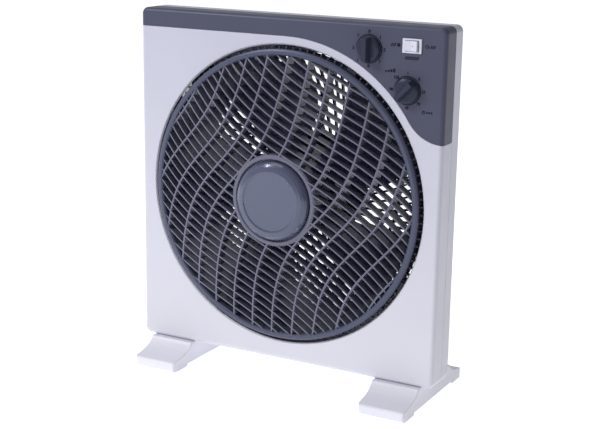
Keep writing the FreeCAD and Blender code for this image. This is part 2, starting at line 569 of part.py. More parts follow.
def make_motor():
    y0, y1 = MOTOR_Y0, MOTOR_Y1
    core0, core1 = y0 + 8.5, y1 - 8.5
    core = tube(STATOR_R, 22.3, core0, core1)
    slots, bars = [], []
    for i in range(8):
        turn = 45.0 * i + 22.5
        for group, w, a, b, s0, s1 in ((slots, 7.0, 24.5, 34.5, core0 - 1, core1 + 1),
                                       (bars, 6.4, 24.8, 34.2, core0 - 1.5, core1 + 1.5)):
            bar = box(a, b, s0, s1, -w / 2, w / 2)
            group.append(turned(bar, -turn))
    nodes["stator_core"] = cut(core, slots)
    front_end, rear_end = core0 - 6.2, core1 + 6.0
    coils = [rounded(tube(36.0, 23.6, a, b), 1.8, lambda e, end=end: abs(e.YMin - end) < 0.01)
             for a, b, end in ((front_end, core0 - 0.4, front_end), (core1 + 0.4, rear_end, rear_end))]
    nodes["motor_windings"] = fuse(coils + bars)
    nodes["rotor"] = fuse([tube(21.9, SHAFT_R + 0.02, core0 - 0.5, core1 + 0.5),
                           tube(20.0, SHAFT_R + 0.02, core0 - 4.5, core1 + 4.5)])

    bolt_spots = [polar(MOTOR_BOLT_R, deg) for deg in MOTOR_BOLT_DEGS]
    for name, wall_y, lip_y, sign in (("motor_front_bell", y0, (core0 + core1) / 2 - 0.1, 1),
                                      ("motor_rear_bell", y1, (core0 + core1) / 2 + 0.1, -1)):
        nose = wall_y - sign * (3.0 if sign > 0 else 2.0)
        seat = wall_y + sign * 3.6
        profile = [(7.2, nose), (9.8, nose), (9.8, wall_y), (BELL_R - 5, wall_y),
                   (BELL_R - 1.5, wall_y + sign * 1.6), (BELL_R, wall_y + sign * 5), (BELL_R, lip_y),
                   (STATOR_R + 0.1, lip_y),
                   (STATOR_R + 0.1, wall_y + sign * 8.4), (BELL_R - 4.4, wall_y + sign * 8.4),
                   (BELL_R - 4.4, wall_y + sign * 1.6), (9.8, wall_y + sign * 1.6), (9.8, seat), (7.2, seat)]
        bell = spun(profile)
        ear_y0, ear_y1 = sorted((lip_y, lip_y - sign * 4))
        ears = [rod(5.6, ear_y0, ear_y1, at) for at in bolt_spots]
        ears = [ear.cut(rod(STATOR_R + 0.4, 0, 60)) for ear in ears]
        vents = []
        for i in range(8):
            vent = box(15, BELL_R - 8, wall_y - 3, wall_y + 3, -4.0, 4.0)
            vents.append(turned(vent, 45.0 * i))
        holes = [rod(2.1, 0, 60, at) for at in bolt_spots]
        nodes[name] = cut(fuse([bell] + ears), vents + holes)
        lo, hi = sorted((nose + sign * 0.4, seat))
        nodes[name.replace("bell", "bearing")] = tube(7.2, SHAFT_R + 0.04, lo, hi)
    bolt_y = (core0 + core1) / 2
    nodes["motor_bolts"] = Part.makeCompound(
        [fuse([rod(2.05, bolt_y - 8, GRILLE_Y1 + 0.1, at), rod(3.9, GRILLE_Y1 + 0.02, GRILLE_Y1 + 2.6, at)])
         for at in bolt_spots])
    nodes["motor_nuts"] = Part.makeCompound(
        [hexagon(3.5, bolt_y - 7.3, bolt_y - 4.3, at).cut(rod(2.05, 0, 60, at)) for at in bolt_spots])
    nodes["motor_spacers"] = Part.makeCompound(
        [tube(3.6, 2.1, bolt_y + 4.2, GRILLE_Y0 - 0.02, at) for at in bolt_spots])


def hexagon(half, y0, y1, at):
    corner = half / cos(pi / 6)
    pts = [Vector(at[0] + corner * cos(pi / 3 * i), y0, at[1] + corner * sin(pi / 3 * i)) for i in range(7)]
    return Part.Face(Part.makePolygon(pts)).extrude(Vector(0, y1 - y0, 0))


# ------------------------------------------------------------------ controls
def make_knob(name, at, pointer_deg):
    """Round knob with a raised grip bar. pointer_deg is clockwise from straight up."""
    y0 = FACE_Y - 0.5
    disc = spun([(0, y0), (KNOB_R, y0), (KNOB_R, y0 - 2.6), (KNOB_R - 1.0, y0 - 4.4),
                 (KNOB_R - 3.2, y0 - 5.2), (0, y0 - 5.2)], at)
    half = KNOB_R - 0.6

    def level(y, wide, long):
        corners = ((-wide, -long), (wide, -long), (wide, long), (-wide, long), (-wide, -long))
        return Part.makePolygon([Vector(x, y, z) for x, z in corners])

    low, top = level(y0 - 4.0, 4.6, half), level(y0 - 13.0, 2.4, half - 1.6)
    bar = Part.makeLoft([low, top], True, True)
    bar = bar.common(rod(KNOB_R - 0.2, y0 - 20, y0, (0, 0)))
    bar.rotate(Vector(0, 0, 0), Y_AXIS, pointer_deg)
    bar = moved(bar, at[0], 0, at[1])
    sleeve = rod(4.2, y0 - 1, FACE_Y + 2.2, at)
    bore = rod(3.0, y0 - 7, FACE_Y + 10, at)
    nodes[name + "_knob"] = cut(fuse([disc, bar, sleeve]), [bore])
    nodes[name + "_shaft"] = rod(3.0, y0 - 7, BACKING_Y + 8, at)


def make_controls():
    make_knob("speed", SPEED_XZ, 0.0)
    make_knob("timer", TIMER_XZ, 45.0)

    x, z = SPEED_XZ
    body = box(x - 14, x + 14, BACKING_Y, BACKING_Y + 20, z - 13, z + 13)
    body = rounded(body, 2.0, lambda b: b.YLength > 15)
    nodes["speed_switch"] = body.cut(rod(3.05, BACKING_Y - 1, BACKING_Y + 9, SPEED_XZ))
    x, z = TIMER_XZ
    can = fuse([rod(19.5, BACKING_Y, BACKING_Y + 24, TIMER_XZ),
                rod(6.0, BACKING_Y + 23, BACKING_Y + 27, TIMER_XZ)])
    can = rounded(can, 1.5, lambda b: b.XLength > 30 and b.YLength < 0.1)
    nodes["timer_mechanism"] = can.cut(rod(3.05, BACKING_Y - 1, BACKING_Y + 9, TIMER_XZ))
    nodes["control_screws"] = Part.makeCompound(
        [rod(1.45, BACKING_Y - 1.7, BACKING_Y + 2, at).fuse(rod(2.8, BACKING_Y + 1.6, BACKING_Y + 3.0, at))
         for at in control_screw_spots()])
    tabs = [box(SPEED_XZ[0] + dx - 2.4, SPEED_XZ[0] + dx + 2.4, BACKING_Y + 20.02, BACKING_Y + 27,
                SPEED_XZ[1] + dz - 0.4, SPEED_XZ[1] + dz + 0.4) for dx in (-7, 7) for dz in (-7, 7)]
    tabs += [box(TIMER_XZ[0] + dx - 2.4, TIMER_XZ[0] + dx + 2.4, BACKING_Y + 24.02, BACKING_Y + 31,
                 TIMER_XZ[1] - 12.4, TIMER_XZ[1] - 11.6) for dx in (-6, 6)]
    rx, rz = ROCKER_XZ
    tabs += [box(rx + dx - 0.4, rx + dx + 0.4, ROCKER_BACK_Y + 0.02, ROCKER_BACK_Y + 7, rz - 2.4, rz + 2.4)
             for dx in (-5, 5)]
    nodes["switch_tabs"] = Part.makeCompound(tabs)
    make_rocker_switch()


def control_screw_spots():
    sx, sz = SPEED_XZ
    tx, tz = TIMER_XZ
    return [(sx - 17.0, sz + 6), (sx + 17.0, sz + 6), (tx + 22.5, tz + 6), (tx - 16.0, tz + 17.0)]


def make_rocker_switch():
    x, z = ROCKER_XZ
    half_w, half_h = 10.4, 7.4
    bezel = box(x - half_w, x + half_w, FACE_Y - 1.6, FACE_Y - 0.05, z - half_h, z + half_h)
    bezel = rounded(bezel, 0.8, lambda b: b.YLength > 1)
    bezel = rounded(bezel, 0.6, lambda b: abs(b.YMin - FACE_Y + 1.6) < 0.01 and b.YLength < 0.01)
    body = box(x - 9.4, x + 9.4, FACE_Y - 0.2, ROCKER_BACK_Y, z - 6.4, z + 6.4)
    well = box(x - 7.7, x + 7.7, FACE_Y - 3, FACE_Y + 8.5, z - 5.6, z + 5.6)
    bores = [Part.makeCylinder(1.25, 14, Vector(x, ROCKER_PIVOT_Y, z - 7), Vector(0, 0, 1))]
    nodes["louver_switch"] = cut(bezel.fuse(body), [well] + bores)

    # drawn level, then turned to rest on its left half
    pts = [(-7.1, -4.9), (0, -3.5), (7.1, -4.9), (6.7, 0.6), (3.0, 4.4), (-3.0, 4.4), (-6.7, 0.6)]
    level = [Vector(px, py, -5.2) for px, py in pts]
    key = Part.Face(Part.makePolygon(level + level[:1])).extrude(Vector(0, 0, 10.4))
    key = rounded(key, 0.6, lambda b: b.ZLength > 5 and b.YMax < -2)
    dot = Part.makeCylinder(0.55, 2, Vector(1.6, -5.5, 0), Y_AXIS)
    key = key.cut(dot)
    pin = Part.makeCylinder(1.2, 12.6, Vector(0, 0, -6.3), Vector(0, 0, 1))
    key = key.fuse(pin)
    key.rotate(Vector(0, 0, 0), Vector(0, 0, 1), -ROCKER_TRAVEL / 2)
    nodes["louver_rocker"] = moved(key, x, ROCKER_PIVOT_Y, z)


# ------------------------------------------------------------------ feet and electrics
def make_feet():
    top = FOOT_H - 0.25
    reach = FOOT_REACH

    heel = reach - TOE_LEN    # where the raised middle of the sole ends
    edges = []
    for sign in (-1, 1):
        def at(y, z):
            return Vector(0, sign * y, z)

        sole = [(0, TOE_STEP), (heel, TOE_STEP), (heel + 2.4, 0), (reach - 1, 0), (reach, 1), (reach, 8.6)]
        edges += [Part.LineSegment(at(*a), at(*b)).toShape() for a, b in zip(sole, sole[1:])]
        edges.append(Part.Arc(at(reach, 8.6), at(reach - 0.8, 10.4), at(reach - 2.5, 11.2)).toShape())
        rise = Part.BSplineCurve()
        rise.interpolate([at(reach - 2.5, 11.2), at(66, 13.2), at(55, 16), at(48, 20), at(44, 24)])
        edges.append(rise.toShape())
        edges.append(Part.Arc(at(44, 24), at(43.3, 24.9), at(42, top)).toShape())
        edges.append(Part.LineSegment(at(42, top), at(0, top)).toShape())
    outline = Part.Face(Part.Wire(Part.__sortEdges__(edges)))
    for name, x0 in (("left_foot", -FOOT_X1), ("right_foot", FOOT_X0)):
        x1 = x0 + FOOT_X1 - FOOT_X0
        foot = moved(outline, x0, 0, 0).extrude(Vector(x1 - x0, 0, 0))
        plan = rounded(box(x0, x1, -reach, reach, -1, top + 1), 3.5, lambda b: b.ZLength > 6)
        foot = foot.common(plan)
        pocket = box(x0 + 2.6, x1 - 2.6, -45, 45, -1, top - 3)
        webs = [box(x0, x1, y - 1, y + 1, TOE_STEP, top - 2) for y in (-15.5, 15.5)]
        mid = (x0 + x1) / 2
        bosses = [Part.makeCylinder(5.0, 10, Vector(mid, y, top - 12)) for y in FOOT_SCREW_YS]
        holes = [Part.makeCylinder(2.0, 40, Vector(mid, y, 0)) for y in FOOT_SCREW_YS]
        nodes[name] = cut(fuse([foot.cut(pocket)] + webs + bosses), holes)
    screws = []
    for side in (-1, 1):
        for y in FOOT_SCREW_YS:
            z = top - 12.02
            screws.append(fuse([Part.makeCylinder(3.8, 2.4, Vector(side * FOOT_SCREW_X, y, z - 2.4)),
                                Part.makeCylinder(1.8, 21, Vector(side * FOOT_SCREW_X, y, z - 0.1))]))
    nodes["foot_screws"] = Part.makeCompound(screws)


def lead(points, radius):
    """Cable along straight runs joined by the largest tangent arcs that they allow."""
    pts = [Vector(*p) for p in points]
    edges, at = [], pts[0]
    for before, corner, after in zip(pts, pts[1:], pts[2:]):
        a, b = (before - corner), (after - corner)
        run = min(a.Length, b.Length)
        a.normalize()
        b.normalize()
        half_turn = (pi - a.getAngle(b)) / 2
        trim = 0.45 * run
        bend = trim / tan(half_turn)
        start, end = corner + a * trim, corner + b * trim
        axis = a + b
        axis.normalize()
        centre_off = hypot(trim, bend)
        mid = corner + axis * (centre_off - bend)
        edges += [Part.LineSegment(at, start).toShape(), Part.Arc(start, mid, end).toShape()]
        at = end
    edges.append(Part.LineSegment(at, pts[-1]).toShape())
    path = Part.Wire(edges)
    first = pts[1] - pts[0]
    ring = Part.Wire([Part.Circle(pts[0], first, radius).toShape()])
    return path.makePipeShell([ring], True, False)


def make_electrics():
    gx, gz = GLAND_XZ
    poles = [(118 + 7.3 * i, 52) for i in range(4)]
    nodes["cord_gland"] = spun([
        (3.5, BACK_Y - 5), (6.0, BACK_Y - 5), (6.0, BACK_Y + 0.05), (8.5, BACK_Y + 0.05),
        (8.5, BACK_Y + 2.4), (6.4, BACK_Y + 3.4), (5.2, BACK_Y + 16), (3.5, BACK_Y + 16)], GLAND_XZ)
    nodes["terminal_block"] = cut(rounded(box(112, 146, BACK_Y - WALL - 12, BACK_Y - WALL, 44, 60), 1.5,
                                          lambda b: b.YLength > 5),
                                  [rod(2.0, -12, -3, at) for at in poles])
    nodes["terminal_screws"] = Part.makeCompound([rod(1.9, -6.5, -3.1, at) for at in poles])
    nodes["run_capacitor"] = rounded(box(-158, -122, BACK_Y - WALL - 16, BACK_Y - WALL, 46, 70), 2.5,
                                     lambda b: b.YLength > 5)
    nodes["motor_lead"] = lead([(20.5, 44.0, AXIS_Z + 38.4), (48.0, 44.0, AXIS_Z + 83.0),
                                (74.0, 40.5, AXIS_Z + 127.0), (76.0, 20.0, AXIS_Z + 131.0),
                                (76.0, -7.5, AXIS_Z + 131.3), (84.0, -10.6, AXIS_Z + 146.0),
                                (90.5, -11.0, AXIS_Z + 157.9)], 2.4)
    nodes["supply_lead"] = lead([(gx, BACK_Y - 7.2, gz), (gx, BACK_Y - 12.0, gz - 1),
                                 (gx - 6, BACK_Y - 14.0, gz - 8), (gx - 9, BACK_Y - 13.0, 61.5)], 2.6)
    nodes["control_lead"] = lead([(125.0, -6.0, 61.5), (140.0, -7.5, 96.0), (158.0, -8.0, 150.0),
                                  (168.0, -8.0, 210.0), (168.0, -7.0, 262.0), (158.0, -5.0, 300.0),
                                  (146.0, -4.6, 319.5)], 2.4)
    px, pz = pinion_at()
    nodes["louver_lead"] = lead([(px + 8.0, -12.0, pz + 23.24), (px + 14.3, -12.0, pz + 41.6),
                                 (px + 48.0, -16.5, pz + 52.0), (-20.0, -16.5, pz + 54.0),
                                 (60.0, -16.5, 372.0), (82.0, -16.5, 361.0), (118.0, -17.0, 361.0),
                                 (127.0, -17.5, 384.6), (139.8, -17.5, 384.8)], 1.6)


def main():
    make_front_housing()
    make_rear_housing()
    make_rear_grille()
    make_louver()
    make_louver_drive()
    make_fan()
    make_motor()
    make_controls()
    make_feet()
    make_electrics()
    os.makedirs("parts", exist_ok=True)
    for name, shape in nodes.items():
        shape.exportStep("parts/%s.step" % name)
        print("%-22s solids %2d  faces %4d  volume %9.0f  valid %s" % (
            name, len(shape.Solids), len(shape.Faces), shape.Volume, shape.isValid()))


main()
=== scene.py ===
import bpy
import bmesh
import json
from math import cos, pi, radians, sin
from mathutils import Matrix, Vector


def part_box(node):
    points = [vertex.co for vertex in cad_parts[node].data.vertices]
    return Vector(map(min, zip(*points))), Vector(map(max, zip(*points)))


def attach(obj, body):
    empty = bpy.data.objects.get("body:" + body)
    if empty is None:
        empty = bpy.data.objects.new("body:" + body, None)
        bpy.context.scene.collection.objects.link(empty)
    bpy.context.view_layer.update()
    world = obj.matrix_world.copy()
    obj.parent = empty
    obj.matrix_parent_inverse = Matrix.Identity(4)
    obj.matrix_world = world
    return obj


# Box fan with a rotating louver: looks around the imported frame. Metres, +Z up, front towards -Y.

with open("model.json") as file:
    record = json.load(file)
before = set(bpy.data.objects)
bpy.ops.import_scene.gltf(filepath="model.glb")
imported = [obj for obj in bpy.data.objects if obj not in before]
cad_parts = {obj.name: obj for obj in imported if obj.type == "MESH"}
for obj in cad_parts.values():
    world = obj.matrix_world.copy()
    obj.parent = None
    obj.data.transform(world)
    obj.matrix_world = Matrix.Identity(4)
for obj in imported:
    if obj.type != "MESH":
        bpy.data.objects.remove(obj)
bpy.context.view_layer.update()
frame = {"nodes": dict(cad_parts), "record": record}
NODES = frame["nodes"]

FACE_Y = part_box("front_housing")[0].y
AXIS_Z = (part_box("louver_grille")[0].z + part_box("louver_grille")[1].z) / 2


def middle(node):
    low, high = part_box(node)
    return (low + high) / 2


# ------------------------------------------------------------------ node materials
MIX_FACTOR, MIX_A, MIX_B = 0, 6, 7      # sockets of a Mix node set to colours
MIX_RESULT = 2


def srgb(r, g, b):
    """Linear colour of an sRGB value from 0 to 255."""
    return tuple((v / 255 / 12.92) if v / 255 <= 0.04045 else ((v / 255 + 0.055) / 1.055) ** 2.4
                 for v in (r, g, b)) + (1.0,)


class Recipe:
    """A Principled material and the few node calls that every finish here is made of."""

    def __init__(self, name):
        self.mat = bpy.data.materials.new(name)
        self.mat.use_nodes = True
        self.tree = self.mat.node_tree
        self.shader = self.tree.nodes["Principled BSDF"]
        self.place = self.add("ShaderNodeTexCoord").outputs["Object"]
        self.height = None

    def add(self, kind, **settings):
        node = self.tree.nodes.new(kind)
        for key, value in settings.items():
            setattr(node, key, value)
        return node

    def link(self, out, into):
        self.tree.links.new(out, into)

    def noise(self, scale, detail=3.0, stretch=(1, 1, 1)):
        place = self.place
        if stretch != (1, 1, 1):
            mapping = self.add("ShaderNodeMapping")
            mapping.inputs["Scale"].default_value = stretch
            self.link(place, mapping.inputs["Vector"])
            place = mapping.outputs["Vector"]
        node = self.add("ShaderNodeTexNoise")
        node.inputs["Scale"].default_value = scale
        node.inputs["Detail"].default_value = detail
        self.link(place, node.inputs["Vector"])
        return node.outputs["Fac"]

    def ranged(self, value, low, high, to_low, to_high):
        node = self.add("ShaderNodeMapRange")
        for key, number in (("From Min", low), ("From Max", high), ("To Min", to_low), ("To Max", to_high)):
            node.inputs[key].default_value = number
        self.link(value, node.inputs["Value"])
        return node.outputs["Result"]

    def colours(self, factor, first, second):
        node = self.add("ShaderNodeMix", data_type="RGBA")
        self.link(factor, node.inputs[MIX_FACTOR])
        for slot, value in ((MIX_A, first), (MIX_B, second)):
            if hasattr(value, "links"):
                self.link(value, node.inputs[slot])
            else:
                node.inputs[slot].default_value = value
        return node.outputs[MIX_RESULT]

    def bump(self, value, strength, distance):
        node = self.add("ShaderNodeBump")
        node.inputs["Strength"].default_value = strength
        node.inputs["Distance"].default_value = distance
        self.link(value, node.inputs["Height"])
        if self.height is not None:
            self.link(self.height, node.inputs["Normal"])
        self.height = node.outputs["Normal"]
        self.link(self.height, self.shader.inputs["Normal"])

    def soft_edges(self, radius):
        """Rounded look on the sharp edges of thin mouldings."""
        node = self.add("ShaderNodeBevel", samples=4)
        node.inputs["Radius"].default_value = radius
        self.height = node.outputs["Normal"]
        self.link(self.height, self.shader.inputs["Normal"])


# Painted light on the white case: painted floor bounce lightens the bottom and the feet, painted shade
# darkens and cools the top.
CASE_LOW_BOUNCE_LIT = srgb(205, 205, 216)
CASE_TOP_SHADED = srgb(179, 180, 197)
FOOT_BOUNCE_LIT = srgb(221, 221, 232)
# RIM_TONE and VANE_LIT_TONE are one louver plastic in two painted tones: the vanes painted lighter as painted
# light.
RIM_TONE = srgb(70, 73, 92)
VANE_LIT_TONE = srgb(99, 100, 117)
COOL_SHEEN = (0.72, 0.78, 1.0, 1.0)


def tone(colour, factor):
    return tuple(c * factor for c in colour[:3]) + (1.0,)


def moulded(name, colour, roughness, grain=0.10, edge=None, specular=0.5, coat=0.0):
    """Moulded plastic: faint flow clouds in the colour, fine spark-eroded grain, uneven gloss."""
    r = Recipe(name)
    if edge:
        r.soft_edges(edge)
    clouds = r.ranged(r.noise(9.0, 4.0), 0.35, 0.65, 0.0, 1.0)
    specks = r.ranged(r.noise(2600.0, 1.0), 0.3, 0.7, 0.0, 1.0)
    base = r.colours(clouds, tone(colour, 0.965), tone(colour, 1.02))
    base = r.colours(r.ranged(specks, 0.0, 1.0, 0.0, 0.25), base, tone(colour, 0.93))
    r.link(base, r.shader.inputs["Base Color"])
    r.link(r.ranged(r.noise(38.0, 5.0), 0.3, 0.7, roughness - 0.045, roughness + 0.045),
           r.shader.inputs["Roughness"])
    r.shader.inputs["Specular IOR Level"].default_value = specular
    r.shader.inputs["Specular Tint"].default_value = COOL_SHEEN
    if coat:
        r.shader.inputs["Coat Weight"].default_value = coat
        r.shader.inputs["Coat Roughness"].default_value = 0.08
    if grain:
        r.bump(r.noise(3200.0, 2.0), grain, 0.00025)
    return r.mat


def metal(name, colour, roughness, stretch=(1, 1, 1), scale=400.0):
    """Bare metal with drawn or turned scratches and dull patches."""
    r = Recipe(name)
    r.shader.inputs["Metallic"].default_value = 1.0
    patches = r.ranged(r.noise(120.0, 4.0), 0.35, 0.65, 0.0, 1.0)
    r.link(r.colours(patches, tone(colour, 0.82), tone(colour, 1.06)), r.shader.inputs["Base Color"])
    lines = r.noise(scale, 3.0, stretch)
    r.link(r.ranged(lines, 0.3, 0.7, roughness - 0.08, roughness + 0.1), r.shader.inputs["Roughness"])
    r.bump(lines, 0.12, 0.0002)
    return r.mat


def windings(name):
    """Enamelled wire laid in turns."""
    r = Recipe(name)
    wave = r.add("ShaderNodeTexWave", wave_type="RINGS", rings_direction="Y")
    wave.inputs["Scale"].default_value = 320.0
    wave.inputs["Distortion"].default_value = 2.0
    r.link(r.place, wave.inputs["Vector"])
    r.shader.inputs["Metallic"].default_value = 0.7
    r.shader.inputs["Roughness"].default_value = 0.3
    r.link(r.colours(wave.outputs["Fac"], srgb(96, 44, 22), srgb(196, 106, 62)),
           r.shader.inputs["Base Color"])
    r.bump(wave.outputs["Fac"], 0.5, 0.0004)
    return r.mat


def laminated(name):
    """Stacked sheet steel, seen as fine layers along Y."""
    r = Recipe(name)
    wave = r.add("ShaderNodeTexWave", bands_direction="Y")
    wave.inputs["Scale"].default_value = 320.0
    r.link(r.place, wave.inputs["Vector"])
    r.shader.inputs["Metallic"].default_value = 0.9
    r.link(r.colours(wave.outputs["Fac"], srgb(66, 66, 72), srgb(132, 132, 138)),
           r.shader.inputs["Base Color"])
    r.link(r.ranged(r.noise(200.0), 0.3, 0.7, 0.42, 0.6), r.shader.inputs["Roughness"])
    r.bump(wave.outputs["Fac"], 0.3, 0.0002)
    return r.mat


def case_paint(name):
    """White case plastic with painted light: painted shade makes it a little cooler and darker towards the
    top, painted floor bounce makes it lighter low down and lightest at the feet.
    """
    r = Recipe(name)
    r.soft_edges(0.0012)
    split = r.add("ShaderNodeSeparateXYZ")
    r.link(r.place, split.inputs["Vector"])
    # painted shade: the case darkens towards the top
    height = r.ranged(split.outputs["Z"], 0.06, 0.40, 0.0, 1.0)
    clouds = r.ranged(r.noise(7.0, 3.0), 0.35, 0.65, 0.0, 1.0)
    # painted floor bounce: the feet are painted lighter still
    painted_bounce = r.ranged(split.outputs["Z"], 0.020, 0.032, 0.0, 1.0)
    low = r.colours(clouds, tone(CASE_LOW_BOUNCE_LIT, 0.975), tone(CASE_LOW_BOUNCE_LIT, 1.015))
    low = r.colours(painted_bounce, FOOT_BOUNCE_LIT, low)
    high = r.colours(clouds, tone(CASE_TOP_SHADED, 0.975), tone(CASE_TOP_SHADED, 1.015))
    r.link(r.colours(height, low, high), r.shader.inputs["Base Color"])
    r.link(r.ranged(r.noise(38.0, 5.0), 0.3, 0.7, 0.33, 0.42), r.shader.inputs["Roughness"])
    r.shader.inputs["Specular IOR Level"].default_value = 0.4
    r.bump(r.noise(3200.0, 2.0), 0.05, 0.00025)
    return r.mat


def louver_paint(name):
    """Louver plastic in two painted tones: the vanes are painted lighter than the darker rim, as painted
    light for the deep grid.
    """
    r = Recipe(name)
    r.soft_edges(0.0006)
    offset = r.add("ShaderNodeVectorMath", operation="SUBTRACT")
    offset.inputs[1].default_value = (0, 0, AXIS_Z)
    r.link(r.place, offset.inputs[0])
    flat = r.add("ShaderNodeVectorMath", operation="MULTIPLY")
    flat.inputs[1].default_value = (1, 0, 1)
    r.link(offset.outputs["Vector"], flat.inputs[0])
    radius = r.add("ShaderNodeVectorMath", operation="LENGTH")
    r.link(flat.outputs["Vector"], radius.inputs[0])
    # painted light: the vanes inside the rim get the lighter copy of the plastic
    on_rim = r.ranged(radius.outputs["Value"], 0.1515, 0.1525, 0.0, 1.0)
    clouds = r.ranged(r.noise(9.0, 4.0), 0.35, 0.65, 0.0, 1.0)
    vanes = r.colours(clouds, tone(VANE_LIT_TONE, 0.94), tone(VANE_LIT_TONE, 1.05))
    rim = r.colours(clouds, tone(RIM_TONE, 0.94), tone(RIM_TONE, 1.05))
    r.link(r.colours(on_rim, vanes, rim), r.shader.inputs["Base Color"])
    r.link(r.ranged(r.noise(38.0, 5.0), 0.3, 0.7, 0.24, 0.34), r.shader.inputs["Roughness"])
    r.shader.inputs["Specular Tint"].default_value = COOL_SHEEN
    r.bump(r.noise(3200.0, 2.0), 0.05, 0.00025)
    return r.mat


def finishes():
    """One material for each slot of the record."""
    return {
        "case_white": case_paint("case_white"),
        "panel_slate": moulded("panel_slate", srgb(71, 72, 90), 0.40, grain=0.08, specular=0.28),
        "louver_grey": louver_paint("louver_grey"),
        "cap_grey": moulded("cap_grey", srgb(76, 79, 101), 0.16, grain=0.0, specular=0.6, coat=0.3),
        "grille_dark": moulded("grille_dark", srgb(44, 45, 56), 0.45, grain=0.08),
        "blade_grey": moulded("blade_grey", srgb(58, 63, 90), 0.30, grain=0.03, specular=0.4),
        "knob_dark": moulded("knob_dark", srgb(43, 46, 62), 0.26, grain=0.03, edge=0.0004, specular=0.28),
        "switch_white": moulded("switch_white", srgb(200, 200, 214), 0.22, grain=0.0, edge=0.0003),
        "switch_black": moulded("switch_black", srgb(24, 24, 28), 0.45),
        "acetal_white": moulded("acetal_white", srgb(222, 221, 214), 0.32, grain=0.0),
        "rubber_black": moulded("rubber_black", srgb(26, 26, 28), 0.62, grain=0.25, specular=0.3),
        "lead_black": moulded("lead_black", srgb(24, 24, 27), 0.4, grain=0.0),
        "lead_white": moulded("lead_white", srgb(205, 205, 205), 0.4, grain=0.0),
        "zinc_steel": metal("zinc_steel", srgb(186, 187, 184), 0.34),
        "zinc_screws": metal("zinc_screws", srgb(190, 188, 176), 0.3, scale=900.0),
        "bright_steel": metal("bright_steel", srgb(200, 201, 204), 0.2, (1, 12, 1)),
        "cast_bell": metal("cast_bell", srgb(170, 171, 174), 0.48, scale=700.0),
        "bronze": metal("bronze", srgb(158, 118, 72), 0.4),
        "brass_tabs": metal("brass_tabs", srgb(196, 164, 96), 0.28),
        "copper": windings("copper"),
        "core_steel": laminated("core_steel"),
    }


def dress_cad(made):
    """Each CAD node gets the material of its slot in the record."""
    slots = {row["node"]: row["material_slot"] for row in frame["record"]["subparts"]}
    for name, obj in NODES.items():
        obj.data.materials.clear()
        obj.data.materials.append(made[slots[name]])


# ------------------------------------------------------------------ printed marks, and painted shade round the dials
PRINT_T = 0.00012                       # thickness of the ink
PRINT_LIFT = 0.00002                    # kept clear of the surface under it
TIGHT_RADIUS = 0.0161                   # the timer label next to the panel's edge
TIGHT_SIZE = 0.0024
# painted shade: a dark ring in the gap round each knob
GAP_SHADE_R, GAP_SHADE_W = 0.0145, 0.0009
SPEED_LABELS = ["0", "1", "2", "3", "0", "1", "2", "3"]
TIMER_LABELS = ["I", "0", "15", "30", "45", "60", "90", "120"]
SIGN_H = 0.0034
BAR_PITCH, BAR_WIDTH = 0.0019, 0.0011
ROCKER_PIVOT_Y = FACE_Y + 0.0015
ROCKER_REST_DEG = -7.5
KEY_FACE = 0.00385                      # from the rocker's pivot to the recess of its key


def finish_piece(obj, material, body):
    obj.data.materials.clear()
    obj.data.materials.append(material)
    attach(obj, body)
    return obj


def print_word(name, text, x, z, size, made):
    """A number or sign printed on the panel, its middle at x, z."""
    curve = bpy.data.curves.new(name, "FONT")
    curve.body = text
    curve.size = size
    curve.align_x = "CENTER"
    curve.align_y = "CENTER"
    curve.extrude = PRINT_T / 2
    curve.offset = size * 0.05
    obj = bpy.data.objects.new(name, curve)
    bpy.context.scene.collection.objects.link(obj)
    obj.location = (x, FACE_Y - PRINT_T / 2 - PRINT_LIFT, z)
    obj.rotation_euler = (radians(90), 0, 0)
    bpy.context.view_layer.update()
    return finish_piece(obj, made["print_dark"], "root")


def print_shape(name, outlines, made, body="root", place=None):
    """Flat printed sign from closed outlines of (x, z) points, raised a hair above the panel."""
    mesh = bpy.data.meshes.new(name)
    bm = bmesh.new()
    for outline in outlines:
        corners = [bm.verts.new((x, -PRINT_LIFT, z)) for x, z in outline]
        face = bm.faces.new(corners)
        raised = bmesh.ops.extrude_face_region(bm, geom=[face])
        verts = [v for v in raised["geom"] if isinstance(v, bmesh.types.BMVert)]
        bmesh.ops.translate(bm, verts=verts, vec=(0, -PRINT_T, 0))
    bmesh.ops.recalc_face_normals(bm, faces=bm.faces)
    bm.to_mesh(mesh)
    bm.free()
    obj = bpy.data.objects.new(name, mesh)
    bpy.context.scene.collection.objects.link(obj)
    obj.matrix_world = place or Matrix.Translation((0, FACE_Y, 0))
    bpy.context.view_layer.update()
    return finish_piece(obj, made["print_dark"], body)


def dial_numbers(name, node, labels, radius, size, made, tight=None):
    """Labels round a dial, clockwise from the top; tight is the one close to the panel's edge."""
    at = middle(node)
    for i, label in enumerate(labels):
        turn = radians(360.0 / len(labels) * i)
        out, height = (TIGHT_RADIUS, TIGHT_SIZE) if i == tight else (radius, size)
        print_word("%s_mark_%d" % (name, i), label, at.x + out * sin(turn), at.z + out * cos(turn),
                   height, made)


def arc_band(cx, cz, radius, width, start, end, steps=14):
    """Outline of a curved stroke; angles in degrees clockwise from the top."""
    outer, inner = [], []
    for i in range(steps + 1):
        turn = radians(start + (end - start) * i / steps)
        outer.append((cx + (radius + width / 2) * sin(turn), cz + (radius + width / 2) * cos(turn)))
        inner.append((cx + (radius - width / 2) * sin(turn), cz + (radius - width / 2) * cos(turn)))
    return outer + inner[::-1]


def block(x, z, width, height):
    """Outline of an upright rectangle from its lower left corner."""
    return [(x, z), (x + width, z), (x + width, z + height), (x, z + height)]


def slanted_bars(x, z, count):
    """Bars that lean to the right, the sign for the louver's vanes."""
    lean = SIGN_H * 0.45
    starts = [x + i * BAR_PITCH for i in range(count)]
    return [[(at, z), (at + BAR_WIDTH, z), (at + BAR_WIDTH + lean, z + SIGN_H), (at + lean, z + SIGN_H)]
            for at in starts]


